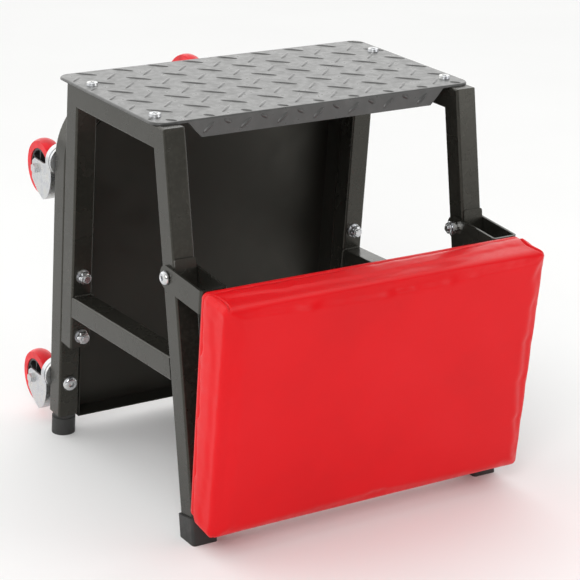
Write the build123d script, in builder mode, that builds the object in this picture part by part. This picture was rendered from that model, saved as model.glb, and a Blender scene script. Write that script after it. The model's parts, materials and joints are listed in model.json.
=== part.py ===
from build123d import *
from math import cos, radians, sin, sqrt, tan
import os

# Step stool that is also a rolling workshop seat, in millimetres. +Z is up and the seat pad
# faces -Y. It stands on two square caps and two round feet; laid on its back it rolls on
# five swivel castors, with the sheet tray below and the red pad on top.

# ---- driving dimensions ----
STEP_WIDTH = 390.0
STEP_DEPTH = 224.0
STEP_HEIGHT = 428.0
STEP_Y = 20.6                 # the step's centre, so that the whole stool is centred on the origin
STEP_SHEET = 2.5
STEP_CORNER = 15.0
LIP_DROP = 19.5
LIP_TOP_WIDTH = 316.0
LIP_BOTTOM_WIDTH = 282.0
LIP_CHAMFER = 7.5
BEND_OUTER = 1.8              # outer radius where the lip turns down

TUBE = 25.0                   # square tube of every frame member
TUBE_WALL = 1.5
TUBE_CORNER = 2.5
FRAME_WIDTH = 383.0
FRONT_SPLAY = 9.6             # front legs lean forwards, degrees from vertical
REAR_SPLAY = 4.0              # rear legs, rear frame and pad lean back
FRONT_CORNER = 123.0          # front legs' front face, ahead of the step's centre at step height
REAR_CORNER = 66.4            # rear legs' front face, behind the step's centre at step height
REAR_LEG_DROP = 308.0         # rear legs' cut end, below the step
STRETCHER_DROP = 256.0
STRETCHER_TILT = 1.8
KING_HEAD_RADIUS = 8.8        # castor bolts' button heads
KING_HEAD = 5.5

CROSS_BAR_DROP = 24.5         # centre of the rear frame's top bar
BEND_RADIUS = 70.0            # its corners, to the tube's centre line
RAIL_END_DROP = 403.5
FRAME_BOLT_DROPS = (221.0, 293.0)
TRAY_SHEET = 1.2
TRAY_OVERHANG = 3.5           # the tray's lower edge, below the rails' ends

PIVOT_DROP = 153.5
SEAT_WIDTH = 390.0
SEAT_TOP_DROP = 146.0
SEAT_HEIGHT = 250.6
SEAT_SETBACK = 213.9          # rear of the cushion at its top, ahead of the step's centre
CUSHION_TOP = 48.5            # thickness at the top and bottom edges
CUSHION_BOTTOM = 40.0
CUSHION_SAG = 5.0             # how far the front lower edge hangs below the rear one
BOARD = 6.0
BOARD_INSET = 3.0
STRAP_WIDTH = 25.0
STRAP = 2.6

CASTOR_DROPS = (103.4, 362.3)
CASTOR_TURN = {"top_centre": 12.0}   # swivel at rest, degrees from hanging straight down
AXLE_REACH = 46.0             # axle to the rail's face
TRAIL = 22.0                  # axle to the swivel axis
WHEEL_RADIUS = 32.5
WHEEL_WIDTH = 17.0
HUB_RADIUS = 22.0
BOSS_RADIUS = 7.0
RIM, RIB, WEB_HALF = 2.6, 1.8, 1.5
TREAD_CROWN = 2.6
FORK_HALF = 12.6
FORK_SHEET = 2.0
AXLE_HEAD = 4.0
RUNNING = 0.06                # radial clearance of a shaft in its bore

M5, M6, M8, M10 = 5.0, 6.0, 8.0, 10.0
CLEAR = 0.4                   # side gap between parts that turn past each other

# ---- derived places ----
TUBE_X = FRAME_WIDTH / 2 - TUBE / 2
SIDES = {"left": -1, "right": 1}
FRONT_SLOPE = tan(radians(FRONT_SPLAY))
REAR_SLOPE = tan(radians(REAR_SPLAY))
HALF = TUBE / 2
TOP_LINE = STEP_HEIGHT - STEP_SHEET - HALF
REARWARD = Vector(0, cos(radians(REAR_SPLAY)), sin(radians(REAR_SPLAY)))
UP_REAR = Vector(0, -sin(radians(REAR_SPLAY)), cos(radians(REAR_SPLAY)))


def front_leg_y(z):
    """Front leg's centre line."""
    return STEP_Y - FRONT_CORNER - FRONT_SLOPE * (STEP_HEIGHT - z) + HALF / cos(radians(FRONT_SPLAY))


def rear_leg_y(z):
    """Rear leg's centre line."""
    return STEP_Y + REAR_CORNER + REAR_SLOPE * (STEP_HEIGHT - z) + HALF / cos(radians(REAR_SPLAY))


def rail_face(drop):
    """Point on the rear frame's front face, mid-width, at a height below the step."""
    z = STEP_HEIGHT - drop
    return Vector(0, rear_leg_y(z) + HALF / cos(radians(REAR_SPLAY)), z)


def finish(part, label, colour):
    """Names, colours and writes one piece."""
    part.part.label = label
    part.part.color = Color(*colour)
    export_step(part.part, f"parts/{label}.step")


BLACK = (0.05, 0.05, 0.05)
ZINC = (0.75, 0.76, 0.78)
RED = (0.8, 0.05, 0.07)
RUBBER = (0.08, 0.08, 0.08)
FOAM = (0.9, 0.85, 0.6)
os.makedirs("parts", exist_ok=True)


def tube(start, end, trims=()):
    """Square tube from one point to another; each trim plane keeps what is on its normal's side."""
    run = Vector(*end) - Vector(*start)
    section = Plane(origin=start, x_dir=(1, 0, 0), z_dir=run.normalized())
    with BuildPart() as member:
        with BuildSketch(section):
            RectangleRounded(TUBE, TUBE, TUBE_CORNER)
            bore = TUBE - 2 * TUBE_WALL
            RectangleRounded(bore, bore, TUBE_CORNER - TUBE_WALL, mode=Mode.SUBTRACT)
        extrude(amount=run.length)
        for plane in trims:
            split(bisect_by=plane, keep=Keep.TOP)
    return member


def drill(plane, radius, depth):
    """Cuts a round hole both ways from a plane, in the part being built."""
    with BuildSketch(plane) as bore:
        Circle(radius)
    extrude(bore.sketch, amount=depth, both=True, mode=Mode.SUBTRACT)


# ---- side frames: top rail, front leg, rear leg and stretcher, welded ----
front_corner = Vector(0, front_leg_y(TOP_LINE), TOP_LINE)
rear_corner = Vector(0, rear_leg_y(TOP_LINE), TOP_LINE)
FRONT_DOWN = Vector(0, -sin(radians(FRONT_SPLAY)), -cos(radians(FRONT_SPLAY)))
REAR_DOWN = UP_REAR * -1
BACK = Vector(0, 1, 0)
CAP_SOLE = 3.0
SCREW_SPOTS = (56.5, -82.5)   # step screws, behind and ahead of the step's centre
stretcher_z = STEP_HEIGHT - STRETCHER_DROP
stretcher_run = Vector(0, cos(radians(STRETCHER_TILT)), -sin(radians(STRETCHER_TILT)))
pivot_z = STEP_HEIGHT - PIVOT_DROP
pivot = Vector(0, front_leg_y(pivot_z), pivot_z)
SLEEVE_RADIUS = 6.0
INSERT_RADIUS = 3.6

for side, sign in SIDES.items():
    across = Vector(sign * TUBE_X, 0, 0)
    front_mitre = Plane(origin=across + front_corner, z_dir=(BACK - FRONT_DOWN).normalized())
    rear_mitre = Plane(origin=across + rear_corner, z_dir=(BACK * -1 - REAR_DOWN).normalized())
    front_out = Plane(origin=front_mitre.origin, z_dir=front_mitre.z_dir * -1)
    rear_out = Plane(origin=rear_mitre.origin, z_dir=rear_mitre.z_dir * -1)

    with BuildPart() as top_rail:
        add(tube(across + front_corner - BACK * TUBE, across + rear_corner + BACK * TUBE,
                 (front_mitre, rear_mitre)).part)
        for spot in SCREW_SPOTS:
            hole = Plane(origin=(sign * TUBE_X, STEP_Y + spot, STEP_HEIGHT))
            drill(hole, INSERT_RADIUS, HALF)
    finish(top_rail, f"top_rail_{side}", BLACK)

    floor_cut = Plane.XY.offset(CAP_SOLE)
    foot_end = across + Vector(0, front_leg_y(0), 0)
    with BuildPart() as front_leg:
        add(tube(across + front_corner - FRONT_DOWN * TUBE, foot_end, (front_out, floor_cut)).part)
        drill(Plane(origin=across + pivot, z_dir=(1, 0, 0)), SLEEVE_RADIUS, TUBE)
    finish(front_leg, f"front_leg_{side}", BLACK)

    leg_end_z = STEP_HEIGHT - REAR_LEG_DROP
    with BuildPart() as rear_leg:
        add(tube(across + rear_corner - REAR_DOWN * TUBE,
                 across + Vector(0, rear_leg_y(leg_end_z), leg_end_z), (rear_out,)).part)
        for drop in FRAME_BOLT_DROPS:
            drill(Plane(origin=across + rail_face(drop), z_dir=REARWARD), M8 / 2, 2 * TUBE)
        head_room = Plane(origin=across + rail_face(CASTOR_DROPS[0]), z_dir=REARWARD)
        drill(head_room, KING_HEAD_RADIUS + CLEAR, 2 * TUBE_WALL)
    finish(rear_leg, f"rear_leg_{side}", BLACK)

    leg_back = Plane(origin=(0, front_leg_y(stretcher_z), stretcher_z),
                     z_dir=(0, cos(radians(FRONT_SPLAY)), -sin(radians(FRONT_SPLAY)))).offset(HALF)
    leg_front = Plane(origin=(0, rear_leg_y(stretcher_z), stretcher_z), z_dir=REARWARD * -1).offset(HALF)
    middle = Vector(sign * TUBE_X, STEP_Y, stretcher_z)
    reach = STEP_DEPTH
    stretcher = tube(middle - stretcher_run * reach, middle + stretcher_run * reach, (leg_back, leg_front))
    finish(stretcher, f"stretcher_{side}", BLACK)

# ---- plates welded on the front legs' front faces, behind the seat straps ----
STOP_TOP_DROP = 134.0
STOP_HEIGHT = 36.0
STOP_SHEET = 2.5
leg_front_normal = Vector(0, -cos(radians(FRONT_SPLAY)), sin(radians(FRONT_SPLAY)))
stop_z = STEP_HEIGHT - STOP_TOP_DROP - STOP_HEIGHT / 2
stop_origin = Vector(0, front_leg_y(stop_z), stop_z) + leg_front_normal * HALF
with BuildPart() as stop_plates:
    with BuildSketch(Plane(origin=stop_origin, x_dir=(1, 0, 0), z_dir=leg_front_normal)):
        with Locations((-TUBE_X, 0), (TUBE_X, 0)):
            RectangleRounded(TUBE - 2 * CLEAR, STOP_HEIGHT, TUBE_CORNER)
    extrude(amount=STOP_SHEET)
finish(stop_plates, "leg_stop_plates", BLACK)

# ---- tread plate with a turned-down front lip ----
step_front = STEP_Y - STEP_DEPTH / 2
with BuildPart() as step_plate:
    with BuildSketch(Plane.XY.offset(STEP_HEIGHT)):
        with Locations((0, STEP_Y)):
            RectangleRounded(STEP_WIDTH, STEP_DEPTH, STEP_CORNER)
    extrude(amount=-STEP_SHEET)
    with BuildSketch(Plane.XZ.offset(-step_front)):
        with BuildLine():
            Polyline(
                (-LIP_TOP_WIDTH / 2, STEP_HEIGHT - STEP_SHEET / 2),
                (-LIP_BOTTOM_WIDTH / 2 - LIP_CHAMFER, STEP_HEIGHT - LIP_DROP + LIP_CHAMFER),
                (-LIP_BOTTOM_WIDTH / 2, STEP_HEIGHT - LIP_DROP),
                (LIP_BOTTOM_WIDTH / 2, STEP_HEIGHT - LIP_DROP),
                (LIP_BOTTOM_WIDTH / 2 + LIP_CHAMFER, STEP_HEIGHT - LIP_DROP + LIP_CHAMFER),
                (LIP_TOP_WIDTH / 2, STEP_HEIGHT - STEP_SHEET / 2),
                close=True,
            )
        make_face()
    extrude(amount=-STEP_SHEET)
    bend = step_plate.faces().sort_by(Axis.Y)[0].edges().filter_by(Axis.X)
    fillet(bend.group_by(Axis.Z)[-1], BEND_OUTER)
    for spot in SCREW_SPOTS:
        for sign in SIDES.values():
            hole = Plane(origin=(sign * TUBE_X, STEP_Y + spot, STEP_HEIGHT))
            drill(hole, M5 / 2, TUBE)
finish(step_plate, "step_plate", BLACK)

# ---- the step's cross-head screws and the rivet nuts they turn in ----
SCREW_HEAD_RADIUS = 6.4
SCREW_HEAD = 2.9
SCREW_TAPER = 12              # slope of the head's side, degrees
SCREW_LENGTH = 16.0
INSERT_LENGTH = 11.0
INSERT_BULGE = 1.0            # the rivet nut's fold behind the tube wall
CROSS_WIDTH = 1.4
CROSS_SPAN = 6.8
with BuildPart() as step_screws:
    for spot in SCREW_SPOTS:
        for sign in SIDES.values():
            seat = Plane(origin=(sign * TUBE_X, STEP_Y + spot, STEP_HEIGHT))
            with BuildSketch(seat):
                Circle(SCREW_HEAD_RADIUS)
            extrude(amount=SCREW_HEAD, taper=SCREW_TAPER)
            with BuildSketch(seat.offset(SCREW_HEAD)):
                Rectangle(CROSS_SPAN, CROSS_WIDTH)
                Rectangle(CROSS_WIDTH, CROSS_SPAN)
            extrude(amount=-SCREW_HEAD / 2, mode=Mode.SUBTRACT)
            with BuildSketch(seat):
                Circle(M5 / 2)
            extrude(amount=-SCREW_LENGTH)
finish(step_screws, "step_screws", ZINC)

with BuildPart() as rivet_nuts:
    for spot in SCREW_SPOTS:
        for sign in SIDES.values():
            seat = Plane(origin=(sign * TUBE_X, STEP_Y + spot, STEP_HEIGHT - STEP_SHEET))
            with BuildSketch(seat):
                Circle(INSERT_RADIUS)
                Circle(M5 / 2, mode=Mode.SUBTRACT)
            extrude(amount=-INSERT_LENGTH)
            with BuildSketch(seat.offset(-TUBE_WALL)):
                Circle(INSERT_RADIUS + INSERT_BULGE)
                Circle(M5 / 2, mode=Mode.SUBTRACT)
            extrude(amount=-2 * INSERT_BULGE)
finish(rivet_nuts, "rivet_nuts", ZINC)

# ---- rubber foot caps over the front legs ----
CAP_WALL = 2.3
CAP_HEIGHT = 27.0
with BuildPart() as leg_room:
    for sign in SIDES.values():
        base = Vector(sign * TUBE_X, front_leg_y(CAP_SOLE), CAP_SOLE)
        with BuildSketch(Plane(origin=base + FRONT_DOWN * HALF, x_dir=(1, 0, 0), z_dir=FRONT_DOWN * -1)):
            RectangleRounded(TUBE, TUBE, TUBE_CORNER)
        extrude(amount=2 * CAP_HEIGHT)
    split(bisect_by=Plane.XY.offset(CAP_SOLE), keep=Keep.TOP)
with BuildPart() as foot_caps:
    for sign in SIDES.values():
        base = Vector(sign * TUBE_X, front_leg_y(0), 0)
        foot = Plane(origin=base + FRONT_DOWN * HALF, x_dir=(1, 0, 0), z_dir=FRONT_DOWN * -1)
        with BuildSketch(foot):
            RectangleRounded(TUBE + 2 * CAP_WALL, TUBE + 2 * CAP_WALL, TUBE_CORNER + 1)
        extrude(amount=CAP_HEIGHT + HALF)
    split(bisect_by=Plane.XY, keep=Keep.TOP)
    add(leg_room.part, mode=Mode.SUBTRACT)
finish(foot_caps, "front_foot_caps", RUBBER)

# ---- rear frame: one square tube bent into an upside-down U, carrying the castors ----
# Its own plane lies in its front face: x across, y up the rails, z forwards.
rear_origin = rail_face(CROSS_BAR_DROP)
REAR = Plane(origin=rear_origin, x_dir=(1, 0, 0), z_dir=REARWARD * -1)


def up_the_rail(drop):
    """Distance up the rear frame from its top bar's centre, of a height below the step."""
    return -(drop - CROSS_BAR_DROP) / cos(radians(REAR_SPLAY))


rail_end = up_the_rail(RAIL_END_DROP)
castor_spots = [("top_centre", 0.0, 0.0)]
for side, sign in SIDES.items():
    for level, drop in zip(("upper", "lower"), CASTOR_DROPS):
        castor_spots.append((f"{side}_{level}", sign * TUBE_X, up_the_rail(drop)))

def bent_outline(inset, end):
    """Closed outline of the bent tube, drawn in from its outer faces, down to its cut ends."""
    outer = TUBE_X + HALF - inset
    inner = TUBE_X - HALF + inset
    top = HALF - inset
    FilletPolyline((-outer, end), (-outer, top), (outer, top), (outer, end), radius=BEND_RADIUS + top)
    Line((outer, end), (inner, end))
    FilletPolyline((inner, end), (inner, -top), (-inner, -top), (-inner, end), radius=BEND_RADIUS - top)
    Line((-inner, end), (-outer, end))


with BuildPart() as rear_frame:
    with BuildSketch(REAR):
        with BuildLine():
            bent_outline(0, rail_end)
        make_face()
    extrude(amount=-TUBE)
    cross_edges = rear_frame.faces().sort_by(Axis.Z)[:2].edges()
    lengthwise = [e for e in rear_frame.edges().filter_by(lambda e: e.length > TUBE + 1)
                  if e not in cross_edges]
    fillet(lengthwise, TUBE_CORNER)
    with BuildSketch(REAR.offset(-TUBE_WALL)):
        with BuildLine():
            bent_outline(TUBE_WALL, rail_end - 1)
        make_face()
    extrude(amount=-(TUBE - 2 * TUBE_WALL), mode=Mode.SUBTRACT)
    with BuildSketch(REAR):
        for _, x, y in castor_spots:
            with Locations((x, y)):
                Circle(M10 / 2)
        for drop in FRAME_BOLT_DROPS:
            with Locations((-TUBE_X, up_the_rail(drop)), (TUBE_X, up_the_rail(drop))):
                Circle(M8 / 2)
    extrude(amount=-TUBE, mode=Mode.SUBTRACT)
finish(rear_frame, "rear_frame", BLACK)

# ---- tool tray: a sheet pan between the rails, open to the front ----
tray_foot = rail_end - TRAY_OVERHANG
tray_half = TUBE_X - HALF


def tray_outline(inset):
    """Closed outline of the tray, drawn in from its outer faces."""
    FilletPolyline(
        (-tray_half + inset, tray_foot + inset), (-tray_half + inset, -HALF - inset),
        (tray_half - inset, -HALF - inset), (tray_half - inset, tray_foot + inset),
        radius=BEND_RADIUS - HALF - inset,
    )
    Line((tray_half - inset, tray_foot + inset), (-tray_half + inset, tray_foot + inset))


with BuildPart() as tool_tray:
    with BuildSketch(REAR):
        with BuildLine():
            tray_outline(0)
        make_face()
    extrude(amount=-TUBE)
    with BuildSketch(REAR):
        with BuildLine():
            tray_outline(TRAY_SHEET)
        make_face()
    extrude(amount=-(TUBE - TRAY_SHEET), mode=Mode.SUBTRACT)
finish(tool_tray, "tool_tray", BLACK)

# ---- round rubber feet plugged into the rails' ends ----
FOOT_RADIUS = 13.4
FOOT_NECK = 12.4
PLUG_DEPTH = 20.0
with BuildPart() as rear_feet:
    for sign in SIDES.values():
        end_point = REAR.from_local_coords((sign * TUBE_X, rail_end, -HALF))
        down = Plane(origin=end_point, x_dir=(1, 0, 0), z_dir=UP_REAR * -1)
        with BuildSketch(down):
            Circle(FOOT_NECK)
        extrude(amount=2 * TRAY_OVERHANG)
        with BuildSketch(down.offset(TRAY_OVERHANG + 1)):
            Circle(FOOT_RADIUS)
        extrude(amount=2 * TUBE)
        with BuildSketch(down):
            plug = TUBE - 2 * TUBE_WALL
            RectangleRounded(plug, plug, TUBE_CORNER - TUBE_WALL)
        extrude(amount=-PLUG_DEPTH)
    split(bisect_by=Plane.XY, keep=Keep.TOP)
finish(rear_feet, "rear_feet", RUBBER)


# ---- fasteners, as proportions of the thread's diameter ----
HEX_HALF = 0.8125             # half the width across a nut's flats
COLLAR = 0.72                 # radius of a lock nut's round collar
COLLAR_SHARE = 0.25           # of the nut's height
SOCKET_HALF = 0.31            # half the width across a hexagon socket's flats
SOCKET_DEPTH = 0.6            # of the head's height
DOME = 28                     # slope of a button head's side, degrees


def nyloc_nut(seat, size, height):
    """Hexagon lock nut standing on a plane, along its normal."""
    with BuildSketch(seat) as body:
        RegularPolygon(size * HEX_HALF, 6, major_radius=False)
        Circle(size / 2, mode=Mode.SUBTRACT)
    extrude(body.sketch, amount=height * (1 - COLLAR_SHARE))
    with BuildSketch(seat.offset(height * (1 - COLLAR_SHARE))) as collar:
        Circle(size * COLLAR)
        Circle(size / 2, mode=Mode.SUBTRACT)
    extrude(collar.sketch, amount=height * COLLAR_SHARE)


def button_bolt(seat, size, length, head_radius, head_height):
    """Round-headed bolt with a hexagon socket: the head stands on the plane, the shank goes down."""
    with BuildSketch(seat) as head:
        Circle(head_radius)
    extrude(head.sketch, amount=head_height, taper=DOME)
    with BuildSketch(seat.offset(head_height)) as socket:
        RegularPolygon(size * SOCKET_HALF, 6, major_radius=False)
    extrude(socket.sketch, amount=-head_height * SOCKET_DEPTH, mode=Mode.SUBTRACT)
    with BuildSketch(seat) as shank:
        Circle(size / 2)
    extrude(shank.sketch, amount=-length)


WASHER = 1.5
NUT8 = 8.0
FRAME_HEAD_RADIUS, FRAME_HEAD = 7.2, 4.4
PIVOT_HEAD_RADIUS, PIVOT_HEAD = 7.6, 4.6
STRAP_HEAD_RADIUS, STRAP_HEAD = 4.75, 2.8
bolt_planes = []
for drop in FRAME_BOLT_DROPS:
    for sign in SIDES.values():
        origin = rail_face(drop) + Vector(sign * TUBE_X, 0, 0)
        bolt_planes.append(Plane(origin=origin, x_dir=(1, 0, 0), z_dir=REARWARD))

with BuildPart() as frame_bolts:
    for place in bolt_planes:
        button_bolt(place.offset(TUBE), M8, 2 * TUBE + WASHER + NUT8 + 2, FRAME_HEAD_RADIUS, FRAME_HEAD)
finish(frame_bolts, "frame_bolts", ZINC)

with BuildPart() as frame_washers:
    for place in bolt_planes:
        with BuildSketch(place.offset(-TUBE)):
            Circle(M8)
            Circle(M8 / 2, mode=Mode.SUBTRACT)
        extrude(amount=-WASHER)
finish(frame_washers, "frame_washers", ZINC)

with BuildPart() as frame_nuts:
    for place in bolt_planes:
        inner = place.offset(-TUBE - WASHER)
        nyloc_nut(Plane(origin=inner.origin, x_dir=(1, 0, 0), z_dir=REARWARD * -1), M8, NUT8)
finish(frame_nuts, "frame_nuts", ZINC)

# ---- seat pivot: sleeve through the leg, bolt and lock nut ----
arm_out = HALF + CLEAR + STRAP
with BuildPart() as pivot_sleeves:
    for sign in SIDES.values():
        start = Plane(origin=pivot + Vector(sign * TUBE_X - HALF - CLEAR / 2, 0, 0), z_dir=(1, 0, 0))
        with BuildSketch(start):
            Circle(SLEEVE_RADIUS)
            Circle(M8 / 2, mode=Mode.SUBTRACT)
        extrude(amount=TUBE + CLEAR)
finish(pivot_sleeves, "pivot_sleeves", ZINC)

with BuildPart() as pivot_bolts:
    for sign in SIDES.values():
        outer = Plane(origin=pivot + Vector(sign * (TUBE_X + arm_out + CLEAR), 0, 0), z_dir=(sign, 0, 0))
        button_bolt(outer, M8, 2 * (arm_out + CLEAR) + NUT8 + 1.5, PIVOT_HEAD_RADIUS, PIVOT_HEAD)
finish(pivot_bolts, "pivot_bolts", ZINC)

with BuildPart() as pivot_nuts:
    for sign in SIDES.values():
        inner = Plane(origin=pivot + Vector(sign * (TUBE_X - arm_out - CLEAR), 0, 0), z_dir=(-sign, 0, 0))
        nyloc_nut(inner, M8, NUT8)
finish(pivot_nuts, "pivot_nuts", ZINC)

# ---- seat: its own plane is the cushion's rear face; x across, y up the pad, z forwards ----
seat_top = Vector(0, STEP_Y - SEAT_SETBACK, STEP_HEIGHT - SEAT_TOP_DROP)
SEAT = Plane(origin=seat_top, x_dir=(1, 0, 0), z_dir=REARWARD * -1)
pivot_local = SEAT.to_local_coords(pivot)
web_front = -BOARD
arm_end = pivot_local.Z - STRAP_WIDTH / 2
SCREW_PITCH = 12.8
screw_up = pivot_local.Y

for side, sign in SIDES.items():
    centre = sign * TUBE_X
    with BuildPart() as strap:
        with BuildSketch(Plane(origin=SEAT.from_local_coords((centre, pivot_local.Y - STRAP_WIDTH / 2, 0)),
                               x_dir=(1, 0, 0), z_dir=UP_REAR)):
            with BuildLine():
                rear = -arm_end
                front = -web_front
                FilletPolyline((-arm_out, rear), (-arm_out, front), (arm_out, front), (arm_out, rear),
                               radius=STRAP * 1.6)
                Line((arm_out, rear), (arm_out - STRAP, rear))
                FilletPolyline((arm_out - STRAP, rear), (arm_out - STRAP, front + STRAP),
                               (-arm_out + STRAP, front + STRAP), (-arm_out + STRAP, rear),
                               radius=STRAP * 0.6)
                Line((-arm_out + STRAP, rear), (-arm_out, rear))
            make_face()
        extrude(amount=STRAP_WIDTH)
        ends = strap.edges().filter_by(Axis.X).sort_by(Axis.Y)[-4:]
        fillet(ends, STRAP_WIDTH / 2 - 0.5)
        drill(Plane(origin=pivot + Vector(centre, 0, 0), z_dir=(1, 0, 0)), M8 / 2 + RUNNING, 2 * TUBE)
        with BuildSketch(SEAT.offset(web_front)):
            with Locations((centre - SCREW_PITCH / 2, screw_up), (centre + SCREW_PITCH / 2, screw_up)):
                Circle(M5 / 2)
        extrude(amount=-STRAP, mode=Mode.SUBTRACT)
    finish(strap, f"seat_strap_{side}", BLACK)

screw_places = [(sign * TUBE_X + step * SCREW_PITCH / 2, screw_up) for sign in (-1, 1) for step in (-1, 1)]
TEE_RADIUS = 5.6
TEE_FLANGE = 1.2
TEE_BARREL = 3.4
with BuildPart() as seat_board:
    with BuildSketch(SEAT.offset(-BOARD)):
        with Locations((0, -SEAT_HEIGHT / 2 + BOARD_INSET / 2)):
            RectangleRounded(SEAT_WIDTH - 2 * BOARD_INSET, SEAT_HEIGHT - 3 * BOARD_INSET, STEP_CORNER / 2)
    extrude(amount=BOARD)
    with BuildSketch(SEAT):
        with Locations(*screw_places):
            Circle(TEE_BARREL)
    extrude(amount=-BOARD, mode=Mode.SUBTRACT)
    with BuildSketch(SEAT):
        with Locations(*screw_places):
            Circle(TEE_RADIUS)
    extrude(amount=-TEE_FLANGE, mode=Mode.SUBTRACT)
finish(seat_board, "seat_board", BLACK)

with BuildPart() as tee_nuts:
    with BuildSketch(SEAT):
        with Locations(*screw_places):
            Circle(TEE_RADIUS)
            Circle(M5 / 2, mode=Mode.SUBTRACT)
    extrude(amount=-TEE_FLANGE)
    with BuildSketch(SEAT.offset(-TEE_FLANGE)):
        with Locations(*screw_places):
            Circle(TEE_BARREL)
            Circle(M5 / 2, mode=Mode.SUBTRACT)
    extrude(amount=-(BOARD - TEE_FLANGE))
finish(tee_nuts, "tee_nuts", ZINC)

with BuildPart() as strap_screws:
    for x, y in screw_places:
        origin = SEAT.from_local_coords((x, y, web_front - STRAP))
        seat = Plane(origin=origin, x_dir=(1, 0, 0), z_dir=REARWARD)
        button_bolt(seat, M5, BOARD + STRAP, STRAP_HEAD_RADIUS, STRAP_HEAD)
finish(strap_screws, "strap_screws", ZINC)

COVER = 1.0
SOFT_EDGE = 11.0


def cushion(inset, back):
    """Wedge-shaped pad with rounded front edges; back is how far it goes behind the board's face."""
    half = SEAT_WIDTH / 2 - inset
    with BuildPart() as pad:
        with BuildSketch(Plane(origin=SEAT.from_local_coords((-half, 0, 0)),
                               x_dir=SEAT.z_dir, z_dir=(1, 0, 0))):
            with BuildLine():
                Polyline(
                    (-back, inset), (CUSHION_TOP - inset, inset),
                    (CUSHION_BOTTOM - inset, SEAT_HEIGHT + CUSHION_SAG - inset),
                    (-back, SEAT_HEIGHT - inset), close=True,
                )
            make_face()
        extrude(amount=2 * half)
        front_face = pad.faces().sort_by(Axis.Y)[0]
        fillet(front_face.edges(), SOFT_EDGE - inset)
    return pad


with BuildPart() as seat_cover:
    add(cushion(0, 0).part)
    add(cushion(COVER, 2).part, mode=Mode.SUBTRACT)
finish(seat_cover, "seat_cover", RED)

seat_foam = cushion(COVER, 0)
finish(seat_foam, "seat_foam", FOAM)

# ---- castors. Each has its own plane on the rail's rear face: x across, y down, z rearwards ----
places = {}
for name, x, y in castor_spots:
    origin = REAR.from_local_coords((x, y, -TUBE))
    level = Plane(origin=origin, x_dir=(1, 0, 0), z_dir=REARWARD)
    turn = radians(CASTOR_TURN.get(name, 0))
    places[name] = Plane(origin=origin, x_dir=level.x_dir * cos(turn) + level.y_dir * sin(turn),
                         z_dir=REARWARD)

RACE_RADIUS = 14.0            # raised ring the balls run on, inside the flange under the cup
RACE = 4.5
BALL_LIFT = 0.3
CUP_RADIUS = 18.0
CUP_DEPTH = 5.5
BALL = 2.6
BALL_GAP = 0.05
CROWN = RACE + 2 * BALL + 2 * BALL_GAP      # inner face of the fork's crown, from the rail
BALL_CIRCLE = 10.6
BALLS = 10
RIVET_RADIUS = 7.2
RIVET_HEAD_RADIUS = 8.6
RIVET_HEAD = 1.6
RIVET_TAPER = 20

with BuildPart() as king_bolts:
    for place in places.values():
        head = Plane(origin=place.offset(-TUBE).origin, x_dir=(1, 0, 0), z_dir=REARWARD * -1)
        button_bolt(head, M10, TUBE + CROWN, KING_HEAD_RADIUS, KING_HEAD)
finish(king_bolts, "castor_king_bolts", ZINC)

with BuildPart() as races:
    for place in places.values():
        with BuildSketch(place):
            Circle(CUP_RADIUS - CLEAR)
        extrude(amount=RACE - CLEAR - BALL_LIFT)
        with BuildSketch(place):
            Circle(RACE_RADIUS)
        extrude(amount=RACE)
        drill(place, RIVET_RADIUS, TUBE)
finish(races, "castor_upper_races", ZINC)

with BuildPart() as rivets:
    for place in places.values():
        with BuildSketch(place):
            Circle(RIVET_RADIUS)
        extrude(amount=CROWN + FORK_SHEET + RUNNING)
        with BuildSketch(place.offset(CROWN + FORK_SHEET + RUNNING)):
            Circle(RIVET_HEAD_RADIUS)
        extrude(amount=RIVET_HEAD, taper=RIVET_TAPER)
        with BuildSketch(place):
            Circle(M10 / 2)
        extrude(amount=CROWN, mode=Mode.SUBTRACT)
finish(rivets, "castor_king_rivets", ZINC)

with BuildPart() as race_balls:
    for place in places.values():
        with Locations(place.offset(RACE + BALL + BALL_GAP)):
            with PolarLocations(BALL_CIRCLE, BALLS):
                Sphere(BALL)
finish(race_balls, "castor_race_balls", ZINC)

HOOD_RADIUS = WHEEL_RADIUS + 5.0
HOOD_TIP = 49.0               # degrees round the wheel from the nearest point to the rail
HOOD_START = 14.0             # where the hood leaves the crown, above the axle's height
CROWN_BACK = 17.0             # upper edge of the side plates at the crown, above the axle
CHEEK_ROUND = 3.0
# corners of a side plate round the axle: down the rail and away from it
CHEEK = ((31, -19), (25, -4), (14, 10), (-6, 10), (-11, 4), (-12, -20))


def side_plane(place, offset):
    """Plane across the axle: x down the rail, y away from it."""
    return Plane(origin=place.from_local_coords((offset, 0, 0)), x_dir=place.y_dir, z_dir=place.x_dir)


def wheel_plane(place):
    """Plane at the wheel's centre, its normal along the axle."""
    centre = place.from_local_coords((0, TRAIL, AXLE_REACH))
    return Plane(origin=centre, x_dir=place.y_dir, z_dir=place.x_dir)


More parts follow.
